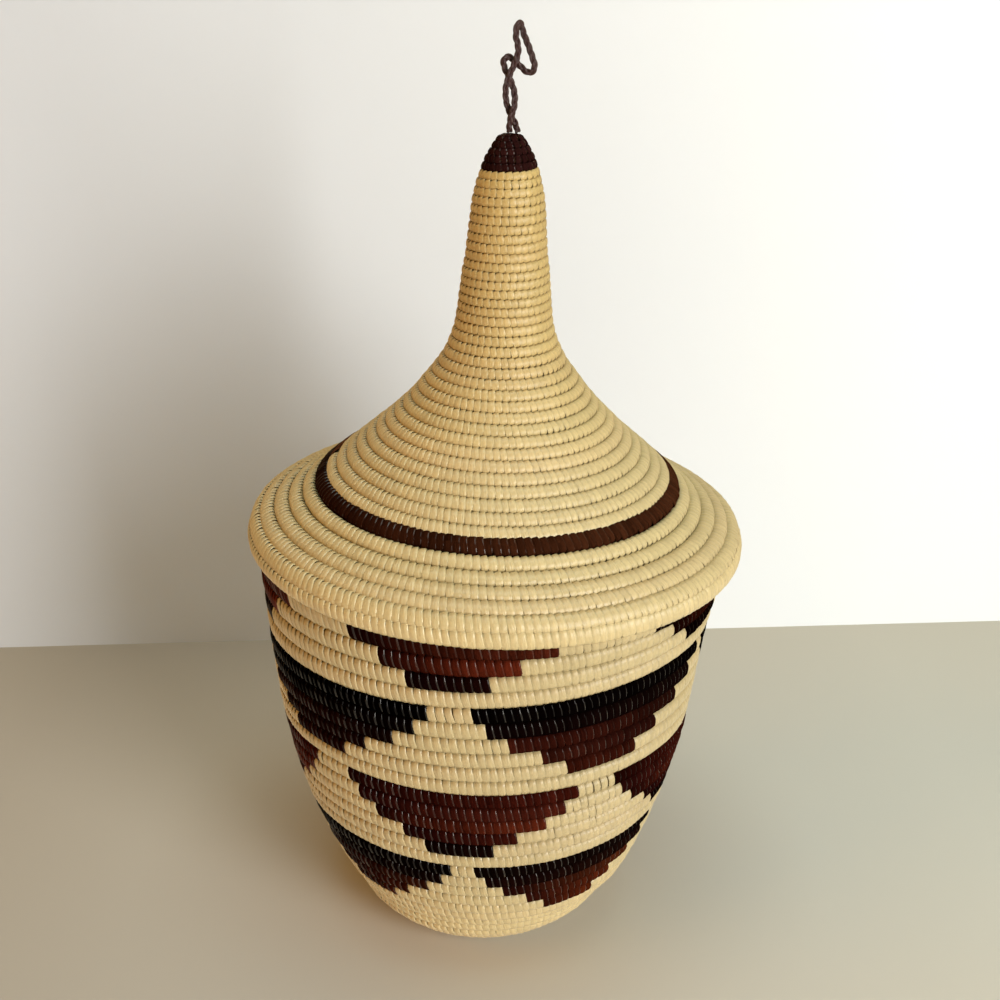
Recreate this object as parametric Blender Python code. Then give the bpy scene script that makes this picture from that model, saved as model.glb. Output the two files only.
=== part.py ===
"""A coiled basket with a spired lid, modelled in metres, +Z up.

The origin is the centre of the flat underside, and the front looks along -Y. Basket and lid are each one
long coil of grass, wrapped with sisal. Seen from above, the coil winds clockwise as it goes down, so the
rows rise to the right. Dyed wraps lie in the coil as stepped triangles, a ring and a dark tip.
"""

import math

import bmesh
import bpy
import numpy as np
from mathutils import Vector
from mathutils.geometry import interpolate_bezier

GAP = 0.0003  # between pieces that touch

# Basket: heights are from the underside, outline points are (share of the height, radius)
LEDGE_HEIGHT = 0.1276
LEDGE_RADIUS = 0.0686
BASE_RADIUS = 0.0280
WALL_FOOT = ((0.012, 0.0316), (0.039, 0.0355), (0.086, 0.0409), (0.129, 0.0438), (0.188, 0.0481))
WALL_BELLY = ((0.30, 0.0537), (0.53, 0.0614), (0.73, 0.0645), (0.88, 0.0664))
WALL_SWAY = ((0, -0.0009), (0.19, 0.0005), (0.39, -0.0006), (0.78, -0.0014), (1, -0.0006))  # sideways, as worked by hand
WALL_THICKNESS = 0.0050
FLOOR_THICKNESS = 0.0050
WALL_ROW = 0.0050  # height of one coil row along the wall
WALL_GROOVE = 0.0009  # depth of the groove between two rows
WALL_COLUMNS = 60  # straight stretches in one turn of the coil
ROW_LEAN = ((0, 0.0), (4, 0.0026), (10, 0.0003), (16, 0.0003), (28, 0.0))  # row, and its rise to the right

# Neck collar: two coil rows inside the ledge, which centre the lid
COLLAR_ROWS = 2
COLLAR_ROW = 0.0047
COLLAR_STAND = 0.0042  # how far it stands above the ledge
COLLAR_THICKNESS = 0.0048

# Lid: sections from the rim upwards, each with its own height and the radius at its foot
RIM_OVERHANG = 0.0027  # how far the rim stands out over the ledge
RIM_ROLL = (0.0031, 0.0002)  # height of the outermost point over the rim's lower edge, how far it stands out
BRIM_HEIGHT = 0.0140
BRIM_SHOULDER = ((0.46, 0.0702), (0.70, 0.0654))
RING_RADIUS = 0.0572
CONE_HEIGHT = 0.0426
CONE_SWEEP = ((0.23, 0.0453), (0.715, 0.0238))
SPIRE_FOOT_RADIUS = 0.0156
SPIRE_HEIGHT = 0.0467
SPIRE_WAIST = (0.48, 0.0116)
SPIRE_TOP_RADIUS = 0.0078
CAP_HEIGHT = 0.0089
CAP_SHOULDER = (0.58, 0.0056)
CAP_FLAT_RADIUS = 0.0024
LID_SWAY = ((0, 0.0001), (0.17, 0.0011), (0.37, 0.0010), (0.58, 0.0005), (1, 0.0005))
CAP_ROWS = 5
SPIRE_ROWS = 20
CONE_ROWS = 15
BRIM_ROWS = 7
LID_ROW_HEIGHTS = ((0, 0.0019), (10, 0.0024), (19, 0.0023), (41, 0.0041), (46, 0.0049))  # (row, height)
LID_THICKNESS = 1.0  # thickness of the lid's wall, in row heights
LID_GROOVE = 0.18  # depth of the groove between two rows, in row heights
SPIRE_COLUMNS = 20
LID_COLUMNS = 32

SHARP_ANGLE = math.radians(50)
CORNER_REACH = 0.35  # how far a corner may move round, in columns, to meet the true end of a dyed row
TAPER_TURNS = 0.12  # over which the ends of a coil thin out, at the back
INNER_STEP = 3  # rows between two rings of the plain inner face
LAST_INNER_STEP = 2  # the same, next to a lower edge

# Dyed wraps: each row of a triangle has its share of the band's width, given in degrees round the basket
TRIANGLE_ROWS = (1.0, 0.90, 0.74, 0.50, 0.30)
TRIANGLES = 5  # in each band; the first three are seen from the front, the others share the way round
WRAP_THICKNESS = 0.0012  # under the groove's depth
BANDS = {  # name: (first row under the ledge, rows seen, width, the three front centres in degrees)
    "upper": (0, 3, 63, (-74.5, -8, 62.6)),
    "black": (4, 5, 66.8, (-118, -45.7, 31.3)),
    "middle": (10, 5, 61, (-78.2, -5.3, 66.6)),
    "lower": (16, 5, 64.5, (-108, -40.3, 31)),
}
RING_START = 255  # degrees round from the front, anticlockwise seen from above

# Hanging loop: a plaited cord, from the left foot round to the right one; offsets from the cap's top
CORD_DIAMETER = 0.0017
LOOP_STAND = 0.0005  # clearance of its feet over the cap
LOOP_PIVOT = 0.0016  # height above the cap of the line that it bends over on
CORD_POINTS = 90
LOOP_ROUTE_MM = (
    (-0.5, 0.0, 0.0), (-0.5, -0.7, 1.9), (-0.3, -1.05, 3.6), (0.4, -0.7, 5.9), (0.6, 0.1, 8.2),
    (0.3, 0.8, 10.2), (-0.6, 1.1, 12.4), (-1.7, 0.9, 14.4), (-2.4, 0.5, 15.9), (-2.6, 0.4, 16.9),
    (-2.3, 0.45, 17.8), (-1.5, 0.6, 18.25), (-0.6, 0.8, 17.9), (0.4, 1.1, 17.2), (1.7, 1.0, 16.1),
    (3.1, 0.6, 15.0), (4.15, 0.4, 14.7), (5.0, 0.2, 15.2), (5.3, 0.1, 16.2), (5.05, 0.1, 17.3),
    (4.4, 0.4, 19.0), (3.4, 0.7, 21.3), (2.5, 0.8, 23.2), (1.75, 0.85, 25.1), (1.55, 0.6, 25.95),
    (1.05, 0.0, 26.3), (0.55, -0.6, 25.95), (0.35, -0.85, 25.1), (0.3, -0.9, 23.2), (0.8, -1.0, 21.4),
    (1.0, -1.0, 19.8), (0.7, -1.1, 18.1), (-0.1, -1.1, 16.1), (-1.1, -1.1, 13.6), (-1.75, -0.8, 11.2),
    (-1.7, 0.0, 8.4), (-1.1, 0.8, 6.0), (-0.1, 1.1, 3.9), (1.0, 0.8, 2.0), (1.7, 0.0, 0.0),
)

RIM_RADIUS = LEDGE_RADIUS + RIM_OVERHANG
RIM_HEIGHT = LEDGE_HEIGHT + GAP  # the lid's lower edge
RING_HEIGHT = RIM_HEIGHT + BRIM_HEIGHT
SPIRE_FOOT = RING_HEIGHT + CONE_HEIGHT
SPIRE_TOP = SPIRE_FOOT + SPIRE_HEIGHT
CAP_TOP = SPIRE_TOP + CAP_HEIGHT

NATURAL = ((0.80, 0.68, 0.43, 1), 0.50)
GOLDEN = ((0.72, 0.53, 0.24, 1), 0.42)
BLACK = ((0.02, 0.015, 0.015, 1), 0.30)
MAROON = ((0.14, 0.03, 0.02, 1), 0.32)
CORD = ((0.07, 0.03, 0.03, 1), 0.55)


class Outline:
    """A smooth curve through (radius, height) points, from the top down the outer side."""

    def __init__(self, points, steps=16):
        points = np.array(points)
        chords = np.linalg.norm(np.diff(points, axis=0), axis=1)
        knots = np.concatenate([[0], np.cumsum(chords)])
        slopes = np.gradient(points, knots, axis=0)
        dense = [Vector(points[0])]
        for i, chord in enumerate(chords):
            start, end = Vector(points[i]), Vector(points[i + 1])
            handles = start + Vector(slopes[i]) * chord / 3, end - Vector(slopes[i + 1]) * chord / 3
            dense += interpolate_bezier(start, *handles, end, steps)[1:]
        self.points = np.array(dense)[:, :2]
        strides = np.linalg.norm(np.diff(self.points, axis=0), axis=1)
        self.distances = np.concatenate([[0], np.cumsum(strides)])
        self.length = self.distances[-1]
        down = np.gradient(self.points, self.distances, axis=0)
        self.normals = np.stack([-down[:, 1], down[:, 0]], axis=1)

    def at(self, distance, depth=0.0):
        """Radius and height this far along the curve and this deep under it."""
        point, normal = (
            [np.interp(distance, self.distances, values[:, axis]) for axis in (0, 1)]
            for values in (self.points, self.normals)
        )
        length = math.hypot(*normal)
        return point[0] - depth * normal[0] / length, point[1] - depth * normal[1] / length


class Coil:
    """Rows of coil wound down an outline, counted in turns from the back, where both its ends thin out."""

    def __init__(self, outline, edges, groove, columns, sway, ends_in_groove=(False, False), lean=((0, 0),)):
        self.outline = outline
        self.edges = np.array(edges)  # distance down the outline of each row's upper edge, at the front
        self.rows = len(edges) - 1
        self.groove = groove  # depth of the groove, in row heights
        self.columns = columns
        self.sway = np.array(sway).T  # heights, and how far to the right the coil's centre lies there
        self.ends_in_groove = ends_in_groove  # top and bottom: where another run of coil goes on
        self.lean = np.array(lean).T  # rows, and how much higher the coil lies there at the right
        self.shifts = {}  # corners moved round, in columns, to meet the ends of dyed rows
        self.dyed = {}  # the figure whose dyed wraps each cell holds

    def row_at(self, turns):
        """How many rows down the coil's upper edge lies after this many turns: level at top and bottom."""
        last = self.rows - 0.5
        return np.interp(
            turns - 0.5,
            [0.5, 0.5 + TAPER_TURNS, last - TAPER_TURNS, last],
            [0, 0.5 + TAPER_TURNS, last - TAPER_TURNS, self.rows],
        )

    def true_step(self, kind, step):
        return step + np.mean(self.shifts.get((kind, step), [0.0]))

    def place(self, row, step, depth, down=0.0, along=0.0):
        """The point this many rows down and column steps round, this deep, shifted down or along the coil."""
        turn = math.pi - math.tau * step / self.columns
        distance = np.interp(row, range(self.rows + 1), self.edges) + down
        distance -= np.interp(row, *self.lean) * math.sin(turn)
        level, depth = (depth, 0.0) if self.free_end(row) else (0.0, depth)
        radius, height = self.outline.at(distance, depth)
        radius -= level
        angle = turn - along / radius
        return self.around(radius, angle, height)

    def around(self, radius, angle, height):
        """The point at this radius from the coil's centre and this angle from the front."""
        centre = np.interp(height, *self.sway)
        return Vector((centre + radius * math.sin(angle), -radius * math.cos(angle), height))

    def row_height(self, row):
        whole = int(min(row, self.rows - 1))
        return self.edges[whole + 1] - self.edges[whole]

    def free_end(self, row):
        """Whether this is a level end of the coil that no other run goes on from."""
        end = {0: 0, self.rows: 1}.get(row)
        return end is not None and not self.ends_in_groove[end]

    def groove_depth(self, row):
        return 0.0 if self.free_end(row) else self.groove * self.row_height(row)

    def edge(self, step, extra=0.0, down=0.0, along=0.0):
        """A point on the row's upper edge, in the groove or deeper by extra."""
        step = self.true_step("edge", step)
        row = self.row_at(step / self.columns)
        return self.place(row, step, self.groove_depth(row) + extra, down, along)

    def crest(self, step, along=0.0):
        """A point on the row's crest, which sinks to the grooves where the coil thins out."""
        step = self.true_step("crest", step)
        upper, lower = self.row_at(step / self.columns), self.row_at(step / self.columns + 1)
        thinned = max(0.0, 1.0 - (lower - upper))
        sunk = thinned * (self.groove_depth(upper) + self.groove_depth(lower)) / 2
        return self.place((upper + lower) / 2, step, sunk, 0.0, along)

    def inner_rings(self, thickness):
        """(radius, height) rings of the plain inner face, a few rows apart, under row heights of coil."""
        rows = [*range(0, self.rows - LAST_INNER_STEP, INNER_STEP), self.rows - LAST_INNER_STEP, self.rows]
        distances = np.interp(rows, range(self.rows + 1), self.edges)
        return [self.outline.at(s, thickness * self.row_height(row)) for s, row in zip(distances, rows)]

    def meets(self, figure, cell):
        """Whether this cell, or the one above or below it, holds the wraps of another figure."""
        return any(self.dyed.get(cell + side * self.columns, figure) != figure for side in (-1, 0, 1))

    def stretch(self, figure, row, start, width):
        """The cells of a row that a figure covers, from this angle round by this width, in degrees."""
        ends = [self.columns * (row + 0.5 - angle / 360) for angle in (start, start - width)]
        first, last = round(ends[0]), max(round(ends[0]) + 1, round(ends[1]))
        while self.meets(figure, first - 1):
            first += 1
        while self.meets(figure, last):
            last -= 1
        for corner, end in zip((first, last), ends):
            shift = max(-CORNER_REACH, min(CORNER_REACH, end - corner))
            for key in (("edge", corner), ("crest", corner), ("edge", corner + self.columns)):
                self.shifts.setdefault(key, []).append(shift)
        covered = set(range(first, last))
        self.dyed.update(dict.fromkeys(covered, figure))
        return covered


def finish(name, look):
    colour, roughness = look
    material = bpy.data.materials.new(name)
    material.use_nodes = True
    shader = material.node_tree.nodes["Principled BSDF"]
    shader.inputs["Base Color"].default_value = colour
    shader.inputs["Roughness"].default_value = roughness
    shader.inputs["Metallic"].default_value = 0.0
    return material


def to_object(name, mesh_data, look):
    """Welds, turns the faces out and makes the named object, smooth but for its grooves and corners."""
    bmesh.ops.remove_doubles(mesh_data, verts=mesh_data.verts, dist=1e-6)
    bmesh.ops.dissolve_degenerate(mesh_data, edges=mesh_data.edges, dist=1e-6)
    bmesh.ops.recalc_face_normals(mesh_data, faces=mesh_data.faces)
    for edge in mesh_data.edges:
        edge.smooth = edge.smooth and edge.calc_face_angle(0.0) < SHARP_ANGLE
    for face in mesh_data.faces:
        face.smooth = True
    mesh = bpy.data.meshes.new(name)
    mesh_data.to_mesh(mesh)
    mesh_data.free()
    mesh.materials.append(finish(name, look))
    made = bpy.data.objects.new(name, mesh)
    bpy.context.scene.collection.objects.link(made)
    return made


def add_face(mesh_data, corners):
    """Triangles from the last of these vertices, always cut alike, so that a skin stays parallel to its bed."""
    kept = [c for i, c in enumerate(corners) if (c.co - corners[i - 1].co).length > 1e-7]
    for i in range(len(kept) - 2):
        mesh_data.faces.new((kept[-1], kept[i], kept[i + 1]))


def ribbed_cell(mesh_data, edge, crest, step, columns):
    """The two faces of one row between two columns: groove to crest, crest to groove."""
    add_face(mesh_data, [edge(step), edge(step + 1), crest(step + 1), crest(step)])
    add_face(mesh_data, [crest(step), crest(step + 1), edge(step + 1 + columns), edge(step + columns)])
    groove = mesh_data.edges.get((edge(step), edge(step + 1)))
    if groove:
        groove.smooth = False


def vertex_cache(mesh_data, place):
    """A function that makes the vertex for a column step once, then gives the same one again."""
    made = {}

    def vertex(step):
        if step not in made:
            made[step] = mesh_data.verts.new(place(step))
        return made[step]

    return vertex


def coiled_shell(name, coil, inner, look, open_top=True, open_bottom=True):
    """A closed shell: a ribbed outer face, sunk where it holds dyed wraps, and a plain inner face."""
    mesh_data = bmesh.new()
    columns, dyed = coil.columns, coil.dyed
    edge = vertex_cache(mesh_data, coil.edge)
    crest = vertex_cache(mesh_data, coil.crest)
    bed = vertex_cache(mesh_data, lambda step: coil.edge(step, WRAP_THICKNESS + GAP))
    cells = coil.rows * columns
    for step in range(cells):
        below = step + columns
        if step not in dyed:
            ribbed_cell(mesh_data, edge, crest, step, columns)
            continue
        add_face(mesh_data, [bed(step), bed(step + 1), bed(below + 1), bed(below)])
        if step >= columns and step - columns not in dyed:
            add_face(mesh_data, [edge(step), edge(step + 1), bed(step + 1), bed(step)])
        if below not in dyed:
            add_face(mesh_data, [bed(below), bed(below + 1), edge(below + 1), edge(below)])
        for side, outside in ((step, step - 1), (step + 1, step + 1)):
            if outside not in dyed:
                foot = side + columns
                add_face(mesh_data, [edge(side), crest(side), edge(foot), bed(foot), bed(side)])
    rings = []
    for radius, height in inner:
        steps = range(columns) if rings else [coil.true_step("edge", step) for step in range(columns)]
        turn = [math.pi - math.tau * step / columns for step in steps]
        rings.append([mesh_data.verts.new(coil.around(radius, angle, height)) for angle in turn])
    for upper, lower in zip(rings, rings[1:]):
        for i in range(columns):
            add_face(mesh_data, [upper[i - 1], upper[i], lower[i], lower[i - 1]])
    for is_open, outer_start, ring in ((open_top, 0, rings[0]), (open_bottom, cells, rings[-1])):
        if not is_open:
            mesh_data.faces.new([edge(outer_start + i) for i in range(columns)])
            mesh_data.faces.new(ring)
            continue
        for i in range(outer_start, outer_start + columns):
            rim = bed if i in dyed else edge  # a bed in the top row is open at the top
            corners = [rim(i), rim(i + 1), ring[(i + 1 - outer_start) % columns], ring[i - outer_start]]
            if i not in dyed and i + 1 in dyed:
                corners.insert(2, bed(i + 1))
            if i not in dyed and i - 1 in dyed:
                corners.append(bed(i))
            add_face(mesh_data, corners)
    return to_object(name, mesh_data, look)


def dyed_wraps(name, coil, cells, look):
    """The dyed wraps of one figure: a ribbed skin that lies in its bed with a gap all round."""
    mesh_data = bmesh.new()
    columns = coil.columns

    def inset(step):
        """How far the corner moves down the rows and along the coil to stay inside the bed."""
        round_it = ((step - columns - 1, -1, -1), (step - columns, -1, 1), (step - 1, 1, -1), (step, 1, 1))
        down = sum(d for cell, d, _ in round_it if cell in cells)
        along = sum(a for cell, _, a in round_it if cell in cells)
        return np.sign(down) * GAP, np.sign(along) * GAP

    outer = vertex_cache(mesh_data, lambda step: coil.edge(step, 0.0, *inset(step)))
    inner = vertex_cache(mesh_data, lambda step: coil.edge(step, WRAP_THICKNESS, *inset(step)))
    crest = vertex_cache(
        mesh_data, lambda step: coil.crest(step, ((step in cells) - (step - 1 in cells)) * GAP)
    )
    for step in sorted(cells):
        below = step + columns
        ribbed_cell(mesh_data, outer, crest, step, columns)
        add_face(mesh_data, [inner(step), inner(step + 1), inner(below + 1), inner(below)])
        if step - columns not in cells:
            add_face(mesh_data, [outer(step), outer(step + 1), inner(step + 1), inner(step)])
        if below not in cells:
            add_face(mesh_data, [inner(below), inner(below + 1), outer(below + 1), outer(below)])
        for side, outside in ((step, step - 1), (step + 1, step + 1)):
            if outside not in cells:
                foot = side + columns
                add_face(mesh_data, [outer(side), crest(side), outer(foot), inner(foot), inner(side)])
    return to_object(name, mesh_data, look)


def triangle_cells(coil, name, first_row, rows, width, centre):
    """The stepped triangle, widest on top; a band with fewer rows shows only its narrow end."""
    shares = TRIANGLE_ROWS[len(TRIANGLE_ROWS) - rows:]
    cells = set()
    for row, share in enumerate(shares, first_row):
        cells |= coil.stretch(name, row, centre + width * share / 2, width * share)
    return cells


def band_centres(front):
    """The measured centres, then the rest spaced evenly over what is left of the turn, within -180 to 180."""
    rest = TRIANGLES - len(front)
    step = (360 - (front[-1] - front[0])) / (rest + 1)
    centres = list(front) + [front[-1] + step * (i + 1) for i in range(rest)]
    return [(centre + 180) % 360 - 180 for centre in centres]


def sway_heights(pairs, foot, height):
    """The sideways shifts given at shares of a height, as (height, shift) pairs."""
    return [(foot + share * height, shift) for share, shift in pairs]


def build_basket():
    belly = [(radius, share * LEDGE_HEIGHT) for share, radius in reversed(WALL_FOOT + WALL_BELLY)]
    outline = Outline([(LEDGE_RADIUS, LEDGE_HEIGHT), *belly, (BASE_RADIUS, 0.0)])
    rows = round(outline.length / WALL_ROW)
    edges = np.linspace(0, outline.length, rows + 1)
    sway = sway_heights(WALL_SWAY, 0, LEDGE_HEIGHT)
    coil = Coil(outline, edges, WALL_GROOVE / (edges[1] - edges[0]), WALL_COLUMNS, sway, lean=ROW_LEAN)
    inside = np.array([outline.at(s, WALL_THICKNESS) for s in outline.distances])[::-1]

    def inner_radius(height):
        return np.interp(height, inside[:, 1], inside[:, 0])

    heights = np.linspace(LEDGE_HEIGHT, FLOOR_THICKNESS, rows // INNER_STEP + 1)
    inner = [(inner_radius(height), height) for height in heights]

    figures = {}
    for band, (first_row, seen, width, front) in BANDS.items():
        for number, centre in enumerate(band_centres(front), 1):
            name = f"{band}_triangle_{number}"
            figures[name] = triangle_cells(coil, name, first_row, seen, width, centre)
    coiled_shell("basket_coil", coil, inner, NATURAL, open_bottom=False)
    for name, cells in figures.items():
        dyed_wraps(name, coil, cells, MAROON if name.startswith(("upper", "middle")) else BLACK)

    collar_top = LEDGE_HEIGHT + COLLAR_STAND
    collar_foot = collar_top - COLLAR_ROWS * COLLAR_ROW
    radius = inner_radius(collar_foot) - GAP
    collar_outline = Outline([(radius, collar_top), (radius, collar_foot)])
    collar_edges = np.linspace(0, collar_outline.length, COLLAR_ROWS + 1)
    collar = Coil(collar_outline, collar_edges, WALL_GROOVE / COLLAR_ROW, WALL_COLUMNS, sway)
    bore = radius - COLLAR_THICKNESS
    coiled_shell("neck_collar", collar, [(bore, collar_top), (bore, collar_foot)], NATURAL)


def lid_outline():
    def between(foot, height, pairs):
        return [(radius, foot + share * height) for share, radius in reversed(pairs)]

    return Outline([
        (CAP_FLAT_RADIUS, CAP_TOP),
        *between(SPIRE_TOP, CAP_HEIGHT, [CAP_SHOULDER]),
        (SPIRE_TOP_RADIUS, SPIRE_TOP),
        *between(SPIRE_FOOT, SPIRE_HEIGHT, [SPIRE_WAIST]),
        (SPIRE_FOOT_RADIUS, SPIRE_FOOT),
        *between(RING_HEIGHT, CONE_HEIGHT, CONE_SWEEP),
        (RING_RADIUS, RING_HEIGHT),
        *between(RIM_HEIGHT, BRIM_HEIGHT, BRIM_SHOULDER),
        (RIM_RADIUS + RIM_ROLL[1], RIM_HEIGHT + RIM_ROLL[0]),
        (RIM_RADIUS, RIM_HEIGHT),
    ])


def build_lid():
    outline = lid_outline()
    rows = CAP_ROWS + SPIRE_ROWS + CONE_ROWS + BRIM_ROWS
    heights = np.interp(range(rows), *np.array(LID_ROW_HEIGHTS).T)
    edges = np.concatenate([[0], np.cumsum(heights)]) * outline.length / heights.sum()

    sway = sway_heights(LID_SWAY, RIM_HEIGHT, CAP_TOP - RIM_HEIGHT)

    def run(first, last, columns):
        """The coil from one row to another, drawn back half a gap where it meets its neighbour."""
        own = edges[first:last + 1].copy()
        own[0] += GAP / 2 if first else 0
        own[-1] -= GAP / 2 if last < rows else 0
        return Coil(outline, own, LID_GROOVE, columns, sway, (first > 0, last < rows))

    cap = run(0, CAP_ROWS, SPIRE_COLUMNS)
    spire = run(CAP_ROWS, CAP_ROWS + SPIRE_ROWS, SPIRE_COLUMNS)
    brim = run(CAP_ROWS + SPIRE_ROWS, rows, LID_COLUMNS)
    coiled_shell("spire_tip_cap", cap, cap.inner_rings(LID_THICKNESS), CORD, open_top=False)
    coiled_shell("spire_coil", spire, spire.inner_rings(LID_THICKNESS), GOLDEN)
    ring_width = 360 * (LID_COLUMNS - 1) / LID_COLUMNS  # one column short of the full turn
    ring = brim.stretch("lid_dark_ring", CONE_ROWS, RING_START, ring_width)
    coiled_shell("lid_coil", brim, brim.inner_rings(LID_THICKNESS), NATURAL)
    dyed_wraps("lid_dark_ring", brim, ring, MAROON)


def build_hanging_loop():
    """The plaited cord as one tube, on an empty at the line where it bends over."""
    route = [Vector(point) / 1000 + Vector((LID_SWAY[-1][1], 0, CAP_TOP)) for point in LOOP_ROUTE_MM]
    lifted = LOOP_STAND - LOOP_ROUTE_MM[0][2] / 1000
    smooth = []
    for i in range(len(route) - 1):
        before, after = route[max(i - 1, 0)], route[min(i + 2, len(route) - 1)]
        start, end = route[i], route[i + 1]
        smooth += interpolate_bezier(start, start + (end - before) / 6, end - (after - start) / 6, end, 12)[:-1]
    smooth = np.array([*smooth, route[-1]])
    run = np.concatenate([[0], np.cumsum(np.linalg.norm(np.diff(smooth, axis=0), axis=1))])
    places = np.linspace(0, run[-1], CORD_POINTS)
    points = np.stack([np.interp(places, run, smooth[:, axis]) for axis in range(3)], axis=1)
    points[:, 2] += lifted
    print(f"hanging loop: {run[-1] * 1000:.1f} mm of cord")

    curve = bpy.data.curves.new("hanging_loop", "CURVE")
    curve.dimensions = "3D"
    curve.bevel_depth = CORD_DIAMETER / 2
    curve.bevel_resolution = 2
    curve.use_fill_caps = True
    pivot = bpy.data.objects.new("loop_pivot", None)
    pivot.location = (LID_SWAY[-1][1], 0, CAP_TOP + LOOP_PIVOT)
    spline = curve.splines.new("POLY")
    spline.points.add(len(points) - 1)
    for spot, point in zip(spline.points, points):
        spot.co = (*(Vector(point) - pivot.location), 1)
    curve.materials.append(finish("hanging_loop", CORD))
    loop = bpy.data.objects.new("hanging_loop", curve)
    loop.parent = pivot
    bpy.context.scene.collection.objects.link(pivot)
    bpy.context.scene.collection.objects.link(loop)


for old in list(bpy.data.objects):
    bpy.data.objects.remove(old)
build_basket()
build_lid()
build_hanging_loop()
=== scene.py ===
import math

import bpy
import numpy as np
from mathutils import Matrix, Vector
from mathutils.geometry import interpolate_bezier


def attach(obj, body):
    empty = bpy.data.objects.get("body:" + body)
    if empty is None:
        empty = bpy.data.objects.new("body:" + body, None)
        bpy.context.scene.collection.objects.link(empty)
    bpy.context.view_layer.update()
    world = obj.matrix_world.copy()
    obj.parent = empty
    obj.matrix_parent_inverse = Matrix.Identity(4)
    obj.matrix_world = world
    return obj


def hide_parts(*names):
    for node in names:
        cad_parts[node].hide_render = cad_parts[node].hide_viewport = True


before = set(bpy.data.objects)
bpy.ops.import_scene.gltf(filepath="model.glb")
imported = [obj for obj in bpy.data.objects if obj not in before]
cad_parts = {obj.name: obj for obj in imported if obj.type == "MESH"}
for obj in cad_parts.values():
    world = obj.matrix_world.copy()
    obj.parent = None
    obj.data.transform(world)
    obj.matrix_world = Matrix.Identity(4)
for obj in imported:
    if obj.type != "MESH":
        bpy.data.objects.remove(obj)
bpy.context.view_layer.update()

# Lidded basket, in metres. Basket and lid are long coils of grass, and every sisal wrap on them is geometry.
# A coil's turns are counted from the back, clockwise as seen from above, and run downwards.

# Camera
cameraSet = {
    "place": (0.0013, -0.3256, 0.2780),
    "lookDown": 23.416,  # degrees
    "roll": 2.224,
    "lens": 43.70,  # mm, on a sensor this wide
    "sensor": 36,
    "clip": (0.01, 20),
}

eye = bpy.data.cameras.new("camera")
eye.lens, eye.sensor_width = cameraSet["lens"], cameraSet["sensor"]
eye.clip_start, eye.clip_end = cameraSet["clip"]
camera = bpy.data.objects.new("camera", eye)
camera.matrix_world = (
    Matrix.Translation(cameraSet["place"])
    @ Matrix.Rotation(math.radians(90 - cameraSet["lookDown"]), 4, "X")
    @ Matrix.Rotation(math.radians(cameraSet["roll"]), 4, "Z")
)
bpy.context.scene.collection.objects.link(camera)
bpy.context.scene.camera = camera
print("camera placed")


# Small helpers
def newObject(name, mesh):
    made = bpy.data.objects.new(name, mesh)
    bpy.context.scene.collection.objects.link(made)
    return made


def linearColour(*screenColour):  # from 0-255 screen values, by the sRGB curve
    shares = (value / 255 for value in screenColour)
    return tuple(((share + 0.055) / 1.055) ** 2.4 if share > 0.04 else share / 12.92 for share in shares)


def socket(sockets, name):  # the one in use, where a node has several of that name
    return next(s for s in sockets if s.name == name and s.enabled)


def addNode(tree, kind, at=(0, 0), inputs=None, **settings):
    made = tree.nodes.new(kind)
    made.location = at
    for key, value in settings.items():
        setattr(made, key, value)
    for name, value in (inputs or {}).items():
        target = made.inputs[name] if isinstance(name, int) else socket(made.inputs, name)
        if isinstance(value, bpy.types.NodeSocket):
            tree.links.new(value, target)
        else:
            target.default_value = value
    return made


def mathNode(tree, operation, at, first, second):  # gives its result
    return addNode(tree, "ShaderNodeMath", at, {0: first, 1: second}, operation=operation).outputs[0]


def newTree(name, kind, inputs, outputs):
    tree = bpy.data.node_groups.new(name, kind)
    for label, socketKind, value in inputs:
        made = tree.interface.new_socket(label, in_out="INPUT", socket_type=socketKind)
        if value is not None:
            made.default_value = value
    for label, socketKind in outputs:
        tree.interface.new_socket(label, in_out="OUTPUT", socket_type=socketKind)
    return tree


def applyTree(holder, tree, values):  # runs a geometry tree on the holder's mesh and gives the plain result
    modifier = holder.modifiers.new("make", "NODES")
    modifier.node_group = tree
    for item in tree.interface.items_tree:
        if item.in_out == "INPUT" and item.name in values:
            modifier[item.identifier] = values[item.name]
    bpy.context.view_layer.update()
    found = holder.evaluated_get(bpy.context.evaluated_depsgraph_get())
    mesh = bpy.data.meshes.new_from_object(found)
    holder.modifiers.remove(modifier)
    return mesh


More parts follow.
